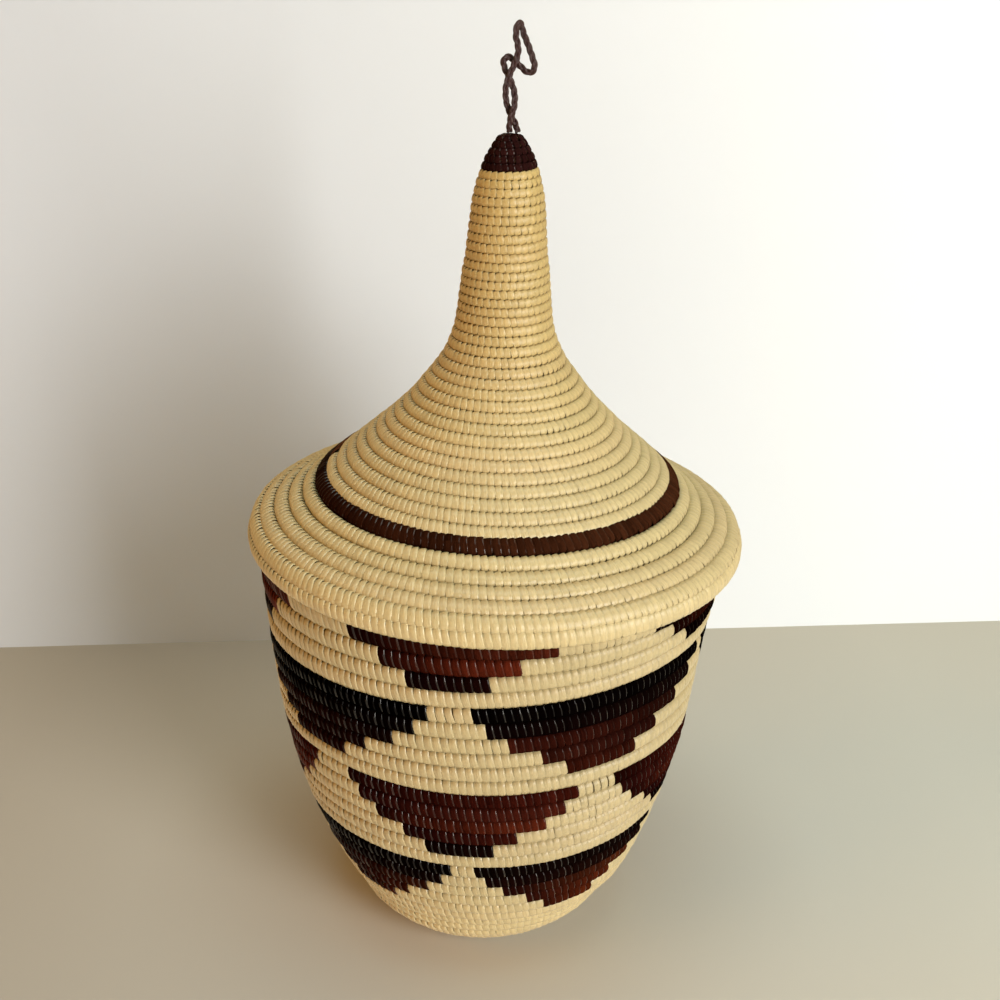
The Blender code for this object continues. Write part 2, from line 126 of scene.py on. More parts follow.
# Hanging loop, a plaited cord
loopSet = {
    "diameter": 0.0017,
    "length": 0.0693,
    "points": 90,  # of the cord's path
    "foot": (0.0005, 0.0, 0.2406),  # just over the middle of the cap's top
    "strandRadius": 0.00044,
    "swing": (0.00044, 0.00024),  # of a strand, across and through the plait
    "plait": 0.0063,  # length of one full crossing pattern
    "steps": 420,  # of a strand
    "sides": 8,
    "stepsPerPoint": 12,  # of the route
    "tones": (0.2, 0.5, 0.8),  # one for each strand
    "endShare": 0.45,  # of a strand's radius, at its two ends
    "fibreLength": 20,  # steps of a strand for each unit of the pattern
    # offsets in mm from the foot, from the loop's left end round to its right end
    "routeInMm": (
        (-0.5, 0.0, 0.0), (-0.5, -0.7, 1.9), (-0.3, -1.05, 3.6), (0.4, -0.7, 5.9), (0.6, 0.1, 8.2),
        (0.3, 0.8, 10.2), (-0.6, 1.1, 12.4), (-1.7, 0.9, 14.4), (-2.4, 0.5, 15.9), (-2.6, 0.4, 16.9),
        (-2.3, 0.45, 17.8), (-1.5, 0.6, 18.25), (-0.6, 0.8, 17.9), (0.4, 1.1, 17.2), (1.7, 1.0, 16.1),
        (3.1, 0.6, 15.0), (4.15, 0.4, 14.7), (5.0, 0.2, 15.2), (5.3, 0.1, 16.2), (5.05, 0.1, 17.3),
        (4.4, 0.4, 19.0), (3.4, 0.7, 21.3), (2.5, 0.8, 23.2), (1.75, 0.85, 25.1), (1.55, 0.6, 25.95),
        (1.05, 0.0, 26.3), (0.55, -0.6, 25.95), (0.35, -0.85, 25.1), (0.3, -0.9, 23.2), (0.8, -1.0, 21.4),
        (1.0, -1.0, 19.8), (0.7, -1.1, 18.1), (-0.1, -1.1, 16.1), (-1.1, -1.1, 13.6), (-1.75, -0.8, 11.2),
        (-1.7, 0.0, 8.4), (-1.1, 0.8, 6.0), (-0.1, 1.1, 3.9), (1.0, 0.8, 2.0), (1.7, 0.0, 0.0),
    ),
}


def loopLine(count):  # evenly spaced points along the loop's middle
    route = [Vector(p) / 1000 + Vector(loopSet["foot"]) for p in loopSet["routeInMm"]]
    dense = []
    for i in range(len(route) - 1):
        before, after = route[max(i - 1, 0)], route[min(i + 2, len(route) - 1)]
        start, end = route[i], route[i + 1]
        handles = start + (end - before) / 6, end - (after - start) / 6
        dense += interpolate_bezier(start, *handles, end, loopSet["stepsPerPoint"])[:-1]
    dense = np.array([*dense, route[-1]])
    run = np.concatenate([[0], np.cumsum(np.linalg.norm(np.diff(dense, axis=0), axis=1))])
    places = np.linspace(0, run[-1], count)
    return np.stack([np.interp(places, run, dense[:, axis]) for axis in range(3)], axis=1), run[-1]


def strandMesh(name, lines, tonesOfLines):  # closed tubes, with their length and way round as UV
    points, faces, uvs, tones = [], [], [], []
    radius, sides = loopSet["strandRadius"], loopSet["sides"]
    for line, tone in zip(lines, tonesOfLines):
        first = len(points)
        forward = np.gradient(line, axis=0)
        forward /= np.linalg.norm(forward, axis=1)[:, None]
        side = np.array([0.0, 1.0, 0.0])
        for i, place in enumerate(line):
            side = side - forward[i] * (side @ forward[i])
            side /= np.linalg.norm(side)
            other = np.cross(forward[i], side)
            thick = radius * (loopSet["endShare"] if i in (0, len(line) - 1) else 1.0)
            for k in range(sides):
                angle = math.tau * k / sides
                points.append(place + thick * (math.cos(angle) * side + math.sin(angle) * other))
                tones.append(tone)
        for i in range(len(line) - 1):
            for k in range(sides):
                a, b = first + i * sides + k, first + i * sides + (k + 1) % sides
                faces.append((a, b, b + sides, a + sides))
                uvs += [(i, k), (i, k + 1), (i + 1, k + 1), (i + 1, k)]
        faces.append(tuple(first + k for k in reversed(range(sides))))
        uvs += [(0, k) for k in reversed(range(sides))]
        last = first + (len(line) - 1) * sides
        faces.append(tuple(last + k for k in range(sides)))
        uvs += [(len(line), k) for k in range(sides)]
    mesh = bpy.data.meshes.new(name)
    mesh.from_pydata([tuple(p) for p in points], [], faces)
    layer = mesh.uv_layers.new(name="UVMap")
    layer.data.foreach_set("uv", (np.array(uvs, float) / (loopSet["fibreLength"], sides)).ravel())
    mesh.attributes.new("tone", "FLOAT", "POINT").data.foreach_set("value", tones)
    mesh.shade_smooth()
    return mesh


def plaitedLoop():
    line, length = loopLine(loopSet["steps"])
    forward = np.gradient(line, axis=0)
    forward /= np.linalg.norm(forward, axis=1)[:, None]
    across = np.cross(forward, (0.0, 1.0, 0.0))
    across /= np.linalg.norm(across, axis=1)[:, None]
    through = np.cross(across, forward)
    phase = np.linspace(0, math.tau * length / loopSet["plait"], len(line))
    wide, deep = loopSet["swing"]
    strands = []
    count = len(loopSet["tones"])
    for k in range(count):
        turn = phase + math.tau * k / count
        swing = wide * np.sin(turn)[:, None] * across + deep * np.sin(2 * turn)[:, None] * through
        strands.append(line + swing)
    return strandMesh("hanging_loop_plait", strands, loopSet["tones"])


loop = newObject("hanging_loop_plait", plaitedLoop())
loopPath = loopLine(loopSet["points"])[0]
print("hanging loop plaited")

# The two coils
wallSet = {
    "top": (0.0686, 0.1276),  # radius and height of the ledge that the lid rests on
    "belly": ((0.0664, 0.88), (0.0645, 0.73), (0.0614, 0.53), (0.0537, 0.30)),  # radius, share of top height
    "foot": (
        (0.0481, 0.188), (0.0438, 0.129), (0.0409, 0.086), (0.0355, 0.039), (0.0316, 0.012), (0.0280, 0.0),
    ),
    "base": ((0.0200, 0.0), (0.0012, 0.0)),
    "rowHeight": 0.00494,
    "thickness": 0.0050,
    "taper": 0.30,  # turns over which an end of the coil thins out
    "drift": {  # how the rows lie off level, along the wall
        "rows": (0, 2, 4, 7, 10, 16, 20, 28),
        "rise": (0, 0.0018, 0.0029, 0.0015, 0.0003, 0.0003, 0.0002, 0),  # right end up, left end down
        "drop": (0, 0.0007, 0.0009, 0.0011, 0.0003, 0.0001, 0.0004, 0),  # all round
        "sag": (0, 0.0006, 0.0027, 0.0046, 0.0046, 0.0031, 0.0044, 0),  # at both sides
        "sagPower": 6,  # how closely it keeps to the sides
    },
    "sway": (  # heights, and how far the middle stands off to the right there
        (0, 0.0242, 0.0498, 0.0995, 0.1276),
        (-0.0009, 0.0005, -0.0006, -0.0014, -0.0006),
    ),
    "wander": 0.00010,
    "seed": 3,
}
lidSet = {
    "outline": (
        (0.0007, 0.2402), (0.0024, 0.2401), (0.0056, 0.23636), (0.0078, 0.2312), (0.0116, 0.20692),
        (0.0156, 0.1845), (0.0238, 0.17236), (0.0453, 0.1517), (0.0572, 0.1419), (0.0654, 0.1377),
        (0.0702, 0.13434), (0.0715, 0.1310), (0.0713, 0.1279),
    ),
    "tip": 0.0017,  # length of the first stretch, which closes the tip
    "capRows": 5,
    "spireRows": 20,
    "coneRows": 15,
    "brimRows": 7,
    "rowHeights": ((0, 10, 19, 41, 46), (0.0019, 0.0024, 0.0023, 0.0041, 0.0049)),
    "taper": 0.30,
    "sway": (
        (0.1279, 0.147, 0.1694, 0.193, 0.2401),
        (0.0001, 0.0011, 0.0010, 0.0005, 0.0005),
    ),
    "wander": 0.00007,
    "seed": 5,
}
collarSet = {
    "radius": 0.0626,
    "top": 0.1318,
    "rowHeight": 0.0047,
    "rows": 2,
    "thickness": 0.0048,
    "taper": 0.30,
    "sway": wallSet["sway"],
    "wander": 0.00006,
    "seed": 7,
}
waveSet = {"count": 14, "rates": (1.19, 15.3), "least": 0.3, "share": 1 / 3}  # a coil's slow wandering


def makeOutline(points, steps=16):  # a smooth line through (radius, height) points, from the top down
    points = np.array(points, float)
    chords = np.linalg.norm(np.diff(points, axis=0), axis=1)
    slopes = np.gradient(points, np.concatenate([[0], np.cumsum(chords)]), axis=0)
    dense = [Vector(points[0])]
    for i, chord in enumerate(chords):
        start, end = Vector(points[i]), Vector(points[i + 1])
        handles = start + Vector(slopes[i]) * chord / 3, end - Vector(slopes[i + 1]) * chord / 3
        dense += interpolate_bezier(start, *handles, end, steps)[1:]
    line = np.array(dense)[:, :2]
    run = np.concatenate([[0], np.cumsum(np.linalg.norm(np.diff(line, axis=0), axis=1))])
    down = np.gradient(line, run, axis=0)
    out = np.stack([-down[:, 1], down[:, 0]], axis=1)
    return {"line": line, "run": run, "out": out / np.linalg.norm(out, axis=1)[:, None]}


def makeCoil(outline, edges, firstRow, look):
    chance = np.random.RandomState(look["seed"])
    waves = [
        (chance.uniform(*waveSet["rates"]), chance.uniform(0, math.tau), chance.uniform(waveSet["least"], 1))
        for _ in range(waveSet["count"])
    ]
    return {
        "outline": outline,
        "edges": np.array(edges),  # how far down the outline each row starts, at the front
        "first": firstRow,
        "last": firstRow + len(edges) - 1,
        "thickness": look.get("thickness"),  # or as thick as its rows are high
        "taper": look["taper"],
        "stand": 0.0,  # how far it lies outside the outline
        "drift": look.get("drift"),
        "sway": look["sway"],
        "wander": look["wander"],
        "waves": waves,
    }


def rowAt(coil, turns):  # rows down after this many turns, level at both ends
    start, end, taper = coil["first"] + 0.5, coil["last"] - 0.5, coil["taper"]
    places = [start, start + taper, end - taper, end]
    return np.interp(turns - 0.5, places, [coil["first"], start + taper, end - taper, coil["last"]])


def placeOnCoil(coil, turns):  # middle of the roll, the way out, the row's height, thickness and radius
    angle = math.pi - math.tau * turns
    rows = np.arange(coil["first"], coil["last"] + 1)

    def runTo(row):
        run = np.interp(row, rows, coil["edges"])
        if coil["drift"]:
            drift = coil["drift"]
            rise, drop, sag = (np.interp(row, drift["rows"], drift[key]) for key in ("rise", "drop", "sag"))
            run = run - rise * np.sin(angle) + drop + sag * np.sin(angle) ** drift["sagPower"]
        return run

    upper, lower = runTo(rowAt(coil, turns)), runTo(rowAt(coil, turns + 1))
    outline = coil["outline"]
    middle, height = (upper + lower) / 2, lower - upper
    radius, z, outRadius, outZ = (
        np.interp(middle, outline["run"], values) for values in (*outline["line"].T, *outline["out"].T)
    )
    thick = np.broadcast_to(coil["thickness"] if coil["thickness"] else height, height.shape)
    wander = coil["wander"] * waveSet["share"] * sum(a * np.sin(w * turns + p) for w, p, a in coil["waves"])
    centre = np.interp(z, *coil["sway"])
    deep = thick / 2 - wander - coil["stand"]
    radius, z = radius - outRadius * deep, z - outZ * deep
    place = np.stack([centre + radius * np.sin(angle), -radius * np.cos(angle), z], axis=1)
    out = np.stack([outRadius * np.sin(angle), -outRadius * np.cos(angle), outZ], axis=1)
    return place, out, height, thick, radius


wallShape = (*wallSet["belly"], *wallSet["foot"], *wallSet["base"])
wallTop = wallSet["top"][1]
wallOutline = makeOutline([wallSet["top"], *((radius, share * wallTop) for radius, share in wallShape)])
wallRow = wallSet["rowHeight"]
allRows = round(wallOutline["run"][-1] / wallRow)
wallCoil = makeCoil(wallOutline, [*(wallRow * np.arange(allRows)), wallOutline["run"][-1]], 0, wallSet)

lidOutline = makeOutline(lidSet["outline"])
lidRows = sum(lidSet[k] for k in ("capRows", "spireRows", "coneRows", "brimRows"))
lidHeights = np.interp(range(lidRows), *lidSet["rowHeights"])
lidHeights *= (lidOutline["run"][-1] - lidSet["tip"]) / lidHeights.sum()
lidEdges = [0, *(lidSet["tip"] + np.concatenate([[0], np.cumsum(lidHeights)]))]
lidCoil = makeCoil(lidOutline, lidEdges, -1, lidSet)

collarFoot = collarSet["top"] - collarSet["rows"] * collarSet["rowHeight"]
collarOutline = makeOutline([(collarSet["radius"], collarSet["top"]), (collarSet["radius"], collarFoot)])
collarCoil = makeCoil(collarOutline, collarSet["rowHeight"] * np.arange(collarSet["rows"] + 1), 0, collarSet)
spireStart = lidSet["capRows"]
coneStart = spireStart + lidSet["spireRows"]
ringRow = coneStart + lidSet["coneRows"]
print(f"coils laid out: {allRows} rows of wall and base, {lidRows} rows of lid")

# Dyed figures: in each row of a stepped triangle one colour at its left fades into one at its right
figureSet = {
    "shares": (1.0, 0.90, 0.74, 0.50, 0.30),  # of the width, row by row; a cut band has the last ones
    "count": 5,
    "bands": {  # first row, width in degrees, the three centres seen in front, and each row's colours
        "upper": (0, 63, (-74.5, -8, 62.6), (
            ((16, 3, 2), (62, 24, 14)), ((22, 5, 3), (80, 30, 17)), ((14, 3, 3), (20, 5, 4)),
        )),
        "black": (4, 66.8, (-118, -45.7, 31.3), (
            ((4, 2, 2), (5, 3, 3)), ((9, 3, 3), (13, 5, 4)), ((47, 16, 10), (24, 8, 5)),
            ((42, 15, 9), (32, 10, 7)), ((46, 15, 8), (40, 13, 7)),
        )),
        "middle": (10, 61, (-78.2, -5.3, 66.6), (
            ((25, 5, 3), (52, 16, 10)), ((28, 6, 5), (60, 22, 14)), ((25, 5, 4), (74, 28, 15)),
            ((22, 4, 4), (50, 16, 10)), ((10, 3, 2), (16, 5, 4)),
        )),
        "lower": (16, 64.5, (-108, -40.3, 31), (
            ((9, 3, 2), (12, 6, 5)), ((17, 5, 4), (21, 8, 5)), ((28, 7, 5), (61, 27, 13)),
            ((36, 11, 7), (68, 27, 12)), ((42, 15, 8), (71, 27, 10)),
        )),
    },
    "tones": {"upper_triangle_3": 0.4, "black_triangle_2": 0.42, "lower_triangle_2": 0.5},  # the darker ones
}


def bandCentres(front):  # those seen in front, and the others spread evenly over the back
    hidden = figureSet["count"] - len(front)
    step = (360 - (front[-1] - front[0])) / (hidden + 1)
    return [*front, *(front[-1] + step * (i + 1) for i in range(hidden))]


figures = {}  # name: runs of (start, end, left colour, right colour, tone)
for band, (firstRow, width, front, colours) in figureSet["bands"].items():
    shares = figureSet["shares"][-len(colours):]
    for number, centre in enumerate(bandCentres(front), 1):
        centre = (centre + 180) % 360 - 180
        name = f"{band}_triangle_{number}"
        tone = figureSet["tones"].get(name, 1.0)
        figures[name] = []
        for row, (share, colour) in enumerate(zip(shares, colours), firstRow):
            middle, half = row + 0.5 - centre / 360, width * share / 2 / 360
            figures[name].append((middle - half, middle + half, *colour, tone))


def undyed(start, end, runs):  # what the dyed runs leave of a stretch of coil
    left, gaps = start, []
    for a, b in sorted((r[0], r[1]) for r in runs):
        if b <= start or a >= end:
            continue
        if a > left:
            gaps.append((left, a))
        left = max(left, b)
    return gaps + ([(left, end)] if left < end else [])


# One wrap: a closed strip round the coil, or half round it where the coil is thin
wrapSet = {
    "sides": (0, 26, 50, 76, 118, 180, -118, -76, -50, -26),  # degrees round the coil, 0 faces out
    "halfSides": (-112, -76, -50, -26, 0, 26, 50, 76, 112),
    # place across and depth: each strip rises from under the one before it, and falls off at its far edge
    "section": ((-0.54, 0.058), (-0.47, 0.015), (-0.34, 0.0), (0.06, 0.006), (0.5, 0.050), (0.0, 0.14)),
    "squareness": 2.9,  # 2 is round
    "thicknessSpread": 0.030,
    "seeds": {"tone": 11, "slant": 23, "width": 37, "thickness": 51, "height": 63},  # added to a piece's own
}


def unitWrap(name, degrees, closed):
    points, faces, uvs = [], [], []
    count, across = len(degrees), len(wrapSet["section"])
    for angle in np.radians(degrees):
        power = wrapSet["squareness"]
        reach = 0.5 / (abs(math.cos(angle)) ** power + abs(math.sin(angle)) ** power) ** (1 / power)
        for y, deep in wrapSet["section"]:
            points.append(((reach - deep) * math.cos(angle), y, (reach - deep) * math.sin(angle)))
    for i in range(count if closed else count - 1):
        for k in range(across):
            j, n = (i + 1) % count, (k + 1) % across
            faces.append((i * across + k, i * across + n, j * across + n, j * across + k))
            left, right = k / (across - 1), (k + 1) / (across - 1)
            uvs += [(i / count, left), (i / count, right), ((i + 1) / count, right), ((i + 1) / count, left)]
    if not closed:
        for i, order in ((0, -1), (count - 1, 1)):
            faces.append(tuple(i * across + k for k in range(across))[::order])
            uvs += [(i / count, k / across) for k in range(across)][::order]
    mesh = bpy.data.meshes.new(name)
    mesh.from_pydata(points, [], faces)
    mesh.uv_layers.new(name="UVMap").data.foreach_set("uv", np.array(uvs, float).ravel())
    mesh.shade_smooth()
    mesh.validate()
    rims = (0, across - 2)  # the strip's two long edges keep their sharp turn to the underside
    lanes = [[corner % across for corner in edge.vertices] for edge in mesh.edges]
    sharp = [first == second and first in rims for first, second in lanes]
    mesh.attributes.new("sharp_edge", "BOOLEAN", "EDGE").data.foreach_set("value", sharp)
    made = newObject(name, mesh)
    made.hide_render = made.hide_viewport = True
    return made


fullWrap = unitWrap("fullWrap", wrapSet["sides"], True)
halfWrap = unitWrap("halfWrap", wrapSet["halfSides"], False)


# Geometry trees: wraps along a coil, and the grass core in them
def writtenVector(tree, name, at):  # one that is written on the line's points
    made = addNode(tree, "GeometryNodeInputNamedAttribute", at, {"Name": name}, data_type="FLOAT_VECTOR")
    return socket(made.outputs, "Attribute")


def buildWrapTree():
    tree = newTree(
        "wrapsAlongCoil",
        "GeometryNodeTree",
        [
            ("Geometry", "NodeSocketGeometry", None),
            ("Wrap", "NodeSocketObject", None),
            ("Spacing", "NodeSocketFloat", 0.002),
            ("Width", "NodeSocketFloat", 1.0),
            ("Width Spread", "NodeSocketFloat", 0.1),
            ("Slant", "NodeSocketFloat", 0.12),
            ("Slant Spread", "NodeSocketFloat", 0.05),
            ("Height", "NodeSocketFloat", 1.05),
            ("Height Spread", "NodeSocketFloat", 0.0),
            ("Seed", "NodeSocketInt", 1),
            ("Material", "NodeSocketMaterial", None),
        ],
        [("Geometry", "NodeSocketGeometry")],
    )
    given = addNode(tree, "NodeGroupInput", (-1200, 0)).outputs

    def chance(use, at):  # from -1 to 1, another for each wrap
        seed = mathNode(tree, "ADD", (at[0] - 180, at[1]), given["Seed"], wrapSet["seeds"][use])
        made = addNode(
            tree, "FunctionNodeRandomValue", at, {"Min": -1.0, "Max": 1.0, "Seed": seed}, data_type="FLOAT"
        )
        return socket(made.outputs, "Value")

    def spread(value, share, use, at):  # value + share * chance
        noise = mathNode(tree, "MULTIPLY", at, chance(use, (at[0] - 400, at[1])), share)
        return mathNode(tree, "ADD", (at[0] + 160, at[1]), value, noise)

    curve = addNode(tree, "GeometryNodeMeshToCurve", (-1000, 200), {"Mesh": given["Geometry"]})
    even = addNode(
        tree, "GeometryNodeResampleCurve", (-820, 200),
        {"Curve": curve.outputs["Curve"], "Length": given["Spacing"]}, mode="LENGTH",
    )
    toned = addNode(
        tree, "GeometryNodeStoreNamedAttribute", (-600, 200),
        {"Geometry": even.outputs["Curve"], "Name": "tone", "Value": chance("tone", (-820, 420))},
        data_type="FLOAT", domain="POINT",
    )
    out, size = writtenVector(tree, "out", (-820, -100)), writtenVector(tree, "size", (-820, -560))
    tangent = addNode(tree, "GeometryNodeInputTangent", (-820, -260))
    turned = addNode(
        tree, "FunctionNodeAxesToRotation", (-600, -100),
        {"Primary Axis": out, "Secondary Axis": tangent.outputs[0]},
        primary_axis="X", secondary_axis="Y",
    )
    angle = spread(given["Slant"], given["Slant Spread"], "slant", (-700, -300))
    slant = addNode(
        tree, "FunctionNodeAxisAngleToRotation", (-420, -300), {"Axis": (1.0, 0.0, 0.0), "Angle": angle}
    )
    slanted = addNode(
        tree, "FunctionNodeRotateRotation", (-240, -100),
        {"Rotation": turned.outputs[0], "Rotate By": slant.outputs[0]}, rotation_space="LOCAL",
    )
    parts = addNode(tree, "ShaderNodeSeparateXYZ", (-600, -560), {0: size}).outputs
    width = spread(given["Width"], given["Width Spread"], "width", (-600, -420))
    height = spread(given["Height"], given["Height Spread"], "height", (-600, -1100))
    thickness = spread(1.0, wrapSet["thicknessSpread"], "thickness", (-600, -860))
    scale = addNode(
        tree, "ShaderNodeCombineXYZ", (-60, -500),
        {
            "X": mathNode(tree, "MULTIPLY", (-240, -560), thickness, parts["X"]),
            "Y": mathNode(tree, "MULTIPLY", (-240, -420), width, given["Spacing"]),
            "Z": mathNode(tree, "MULTIPLY", (-240, -700), height, parts["Z"]),
        },
    )
    shape = addNode(
        tree, "GeometryNodeObjectInfo", (-240, 60), {"Object": given["Wrap"], "As Instance": True}
    )
    placed = addNode(
        tree, "GeometryNodeInstanceOnPoints", (140, 100),
        {
            "Points": toned.outputs["Geometry"], "Instance": shape.outputs["Geometry"],
            "Rotation": slanted.outputs[0], "Scale": scale.outputs[0],
        },
    )
    real = addNode(tree, "GeometryNodeRealizeInstances", (320, 100), {"Geometry": placed.outputs[0]})
    dressed = addNode(
        tree, "GeometryNodeSetMaterial", (500, 100),
        {"Geometry": real.outputs[0], "Material": given["Material"]},
    )
    addNode(tree, "NodeGroupOutput", (680, 100), {"Geometry": dressed.outputs[0]})
    return tree


def buildCoreTree():
    tree = newTree(
        "coreAlongCoil",
        "GeometryNodeTree",
        [
            ("Geometry", "NodeSocketGeometry", None),
            ("Spacing", "NodeSocketFloat", 0.004),
            ("Radius", "NodeSocketFloat", 0.4),
            ("Sides", "NodeSocketInt", 6),
            ("Material", "NodeSocketMaterial", None),
        ],
        [("Geometry", "NodeSocketGeometry")],
    )
    given = addNode(tree, "NodeGroupInput", (-800, 0)).outputs
    curve = addNode(tree, "GeometryNodeMeshToCurve", (-600, 0), {"Mesh": given["Geometry"]})
    even = addNode(
        tree, "GeometryNodeResampleCurve", (-420, 0),
        {"Curve": curve.outputs["Curve"], "Length": given["Spacing"]}, mode="LENGTH",
    )
    size = writtenVector(tree, "size", (-600, -260))
    parts = addNode(tree, "ShaderNodeSeparateXYZ", (-420, -260), {0: size}).outputs
    radius = mathNode(tree, "MULTIPLY", (-240, -260), parts["X"], given["Radius"])
    profile = addNode(
        tree, "GeometryNodeCurvePrimitiveCircle", (-240, -120),
        {"Resolution": given["Sides"], "Radius": 1.0}, mode="RADIUS",
    )
    tube = addNode(
        tree, "GeometryNodeCurveToMesh", (-60, 0),
        {
            "Curve": even.outputs["Curve"], "Profile Curve": profile.outputs["Curve"],
            "Scale": radius, "Fill Caps": True,
        },
    )
    real = addNode(tree, "GeometryNodeRealizeInstances", (120, 0), {"Geometry": tube.outputs[0]})
    dressed = addNode(
        tree, "GeometryNodeSetMaterial", (300, 0),
        {"Geometry": real.outputs[0], "Material": given["Material"]},
    )
    addNode(tree, "NodeGroupOutput", (480, 0), {"Geometry": dressed.outputs[0]})
    return tree


wrapTree, coreTree = buildWrapTree(), buildCoreTree()
print("trees built")


# Materials
fibreSet = {
    "along": 2.2,  # how often the streaks change along a strip
    "across": 9.0,
    "toneShift": 37.0,  # gives each strip other streaks
    "detail": 3.0,
    "roughness": 0.6,
    "levels": (0.3, 0.7),  # of the noise, spread out to -1 and 1
    "tucked": (0.62, 0.80),  # share across a strip over which painted shade darkens it, under its neighbour
    "raised": (0.36, 0.42),  # and over which the glint of its raised edge ends
    "leastGlint": 0.15,
}


def buildFibreGroup():  # streaks, a tone for each strip, painted shade on the tucked edge and a glint on the raised one
    tree = newTree(
        "sisalFibres",
        "ShaderNodeTree",
        [
            ("Colour", "NodeSocketColor", (0.8, 0.7, 0.5, 1)),
            ("Strip", "NodeSocketVector", None),
            ("Tone", "NodeSocketFloat", 0.0),
            ("Streaks", "NodeSocketFloat", 0.25),
            ("Tone Spread", "NodeSocketFloat", 0.1),
            ("Painted Tuck Shade", "NodeSocketFloat", 0.1),
            ("Edge Coat", "NodeSocketFloat", 0.5),
            ("Roughness", "NodeSocketFloat", 0.4),
            ("Roughness Spread", "NodeSocketFloat", 0.15),
        ],
        [
            ("Colour", "NodeSocketColor"), ("Roughness", "NodeSocketFloat"), ("Height", "NodeSocketFloat"),
            ("Coat", "NodeSocketFloat"),
        ],
    )
    given = addNode(tree, "NodeGroupInput", (-1200, 0)).outputs
    parts = addNode(tree, "ShaderNodeSeparateXYZ", (-1000, 0), {0: given["Strip"]}).outputs
    spot = addNode(
        tree, "ShaderNodeCombineXYZ", (-640, 0),
        {
            "X": mathNode(tree, "MULTIPLY", (-820, 60), parts[0], fibreSet["along"]),
            "Y": mathNode(tree, "MULTIPLY", (-820, -100), parts[1], fibreSet["across"]),
            "Z": mathNode(tree, "MULTIPLY", (-820, -260), given["Tone"], fibreSet["toneShift"]),
        },
    )
    noise = addNode(
        tree, "ShaderNodeTexNoise", (-460, 0),
        {
            "Vector": spot.outputs[0], "Scale": 1.0, "Detail": fibreSet["detail"],
            "Roughness": fibreSet["roughness"],
        },
    )

    def mapped(value, start, end, low, high, at):  # start gives low and end gives high
        limits = {"From Min": start, "From Max": end, "To Min": low, "To Max": high}
        return addNode(tree, "ShaderNodeMapRange", at, {"Value": value, **limits}).outputs[0]

    level = mapped(noise.outputs[0], *fibreSet["levels"], -1.0, 1.0, (-280, 0))
    tucked = mapped(parts[1], *fibreSet["tucked"], 0.0, 1.0, (-280, -420))
    raised = mapped(parts[1], *fibreSet["raised"], 1.0, 0.0, (-280, -620))
    glint = mapped(given["Tone"], -1.0, 1.0, fibreSet["leastGlint"], 1.0, (-280, -860))

    streak = mathNode(tree, "MULTIPLY", (-100, 0), level, given["Streaks"])
    tone = mathNode(tree, "MULTIPLY", (-100, -160), given["Tone"], given["Tone Spread"])
    # painted shade: the tucked edge darkened where the strip goes under its neighbour
    dark = mathNode(tree, "MULTIPLY", (-100, -420), tucked, given["Painted Tuck Shade"])
    both = mathNode(tree, "ADD", (80, -80), streak, tone)
    less = mathNode(tree, "SUBTRACT", (240, -80), both, dark)
    factor = mathNode(tree, "ADD", (400, -80), less, 1.0)
    colour = addNode(
        tree, "ShaderNodeVectorMath", (580, 60), {0: given["Colour"], 1: factor}, operation="MULTIPLY"
    )
    rough = mathNode(tree, "MULTIPLY", (400, -260), level, given["Roughness Spread"])
    roughness = mathNode(tree, "ADD", (580, -260), rough, given["Roughness"])
    strength = mathNode(tree, "MULTIPLY", (-100, -860), glint, given["Edge Coat"])
    coat = mathNode(tree, "MULTIPLY", (80, -620), raised, strength)
    addNode(
        tree, "NodeGroupOutput", (780, 0),
        {"Colour": colour.outputs[0], "Roughness": roughness, "Height": level, "Coat": coat},
    )
    return tree


fibres = buildFibreGroup()


def stripMaterial(name, look):  # sisal, its colour written on the wraps, or one colour
    made = bpy.data.materials.new(name)
    made.use_nodes = True
    tree = made.node_tree
    shader = tree.nodes["Principled BSDF"]
    shader.inputs["Coat Roughness"].default_value = look["coatRoughness"]
    shader.inputs["Specular IOR Level"].default_value = look["shine"]
    strip = addNode(tree, "ShaderNodeUVMap", (-900, 0), uv_map="UVMap")
    tone = addNode(tree, "ShaderNodeAttribute", (-900, -160), attribute_name="tone")
    effect = addNode(
        tree, "ShaderNodeGroup", (-600, 0), node_tree=fibres,
        inputs={
            "Strip": strip.outputs[0], "Tone": tone.outputs["Fac"], "Streaks": look["streaks"],
            "Tone Spread": look["toneSpread"], "Painted Tuck Shade": look["paintedTuckShade"], "Edge Coat": look["edgeCoat"],
            "Roughness": look["roughness"], "Roughness Spread": look["roughnessSpread"],
        },
    )
    if "colour" in look:
        effect.inputs["Colour"].default_value = (*linearColour(*look["colour"]), 1)
    else:
        written = addNode(tree, "ShaderNodeAttribute", (-900, 200), attribute_name="dye")
        tree.links.new(written.outputs["Color"], effect.inputs["Colour"])
    bump = addNode(
        tree, "ShaderNodeBump", (-300, -300),
        {"Strength": look["bump"], "Distance": look["bumpDepth"], "Height": effect.outputs["Height"]},
    )
    tree.links.new(effect.outputs["Colour"], shader.inputs["Base Color"])
    tree.links.new(effect.outputs["Roughness"], shader.inputs["Roughness"])
    tree.links.new(effect.outputs["Coat"], shader.inputs["Coat Weight"])
    tree.links.new(bump.outputs[0], shader.inputs["Normal"])
    return made
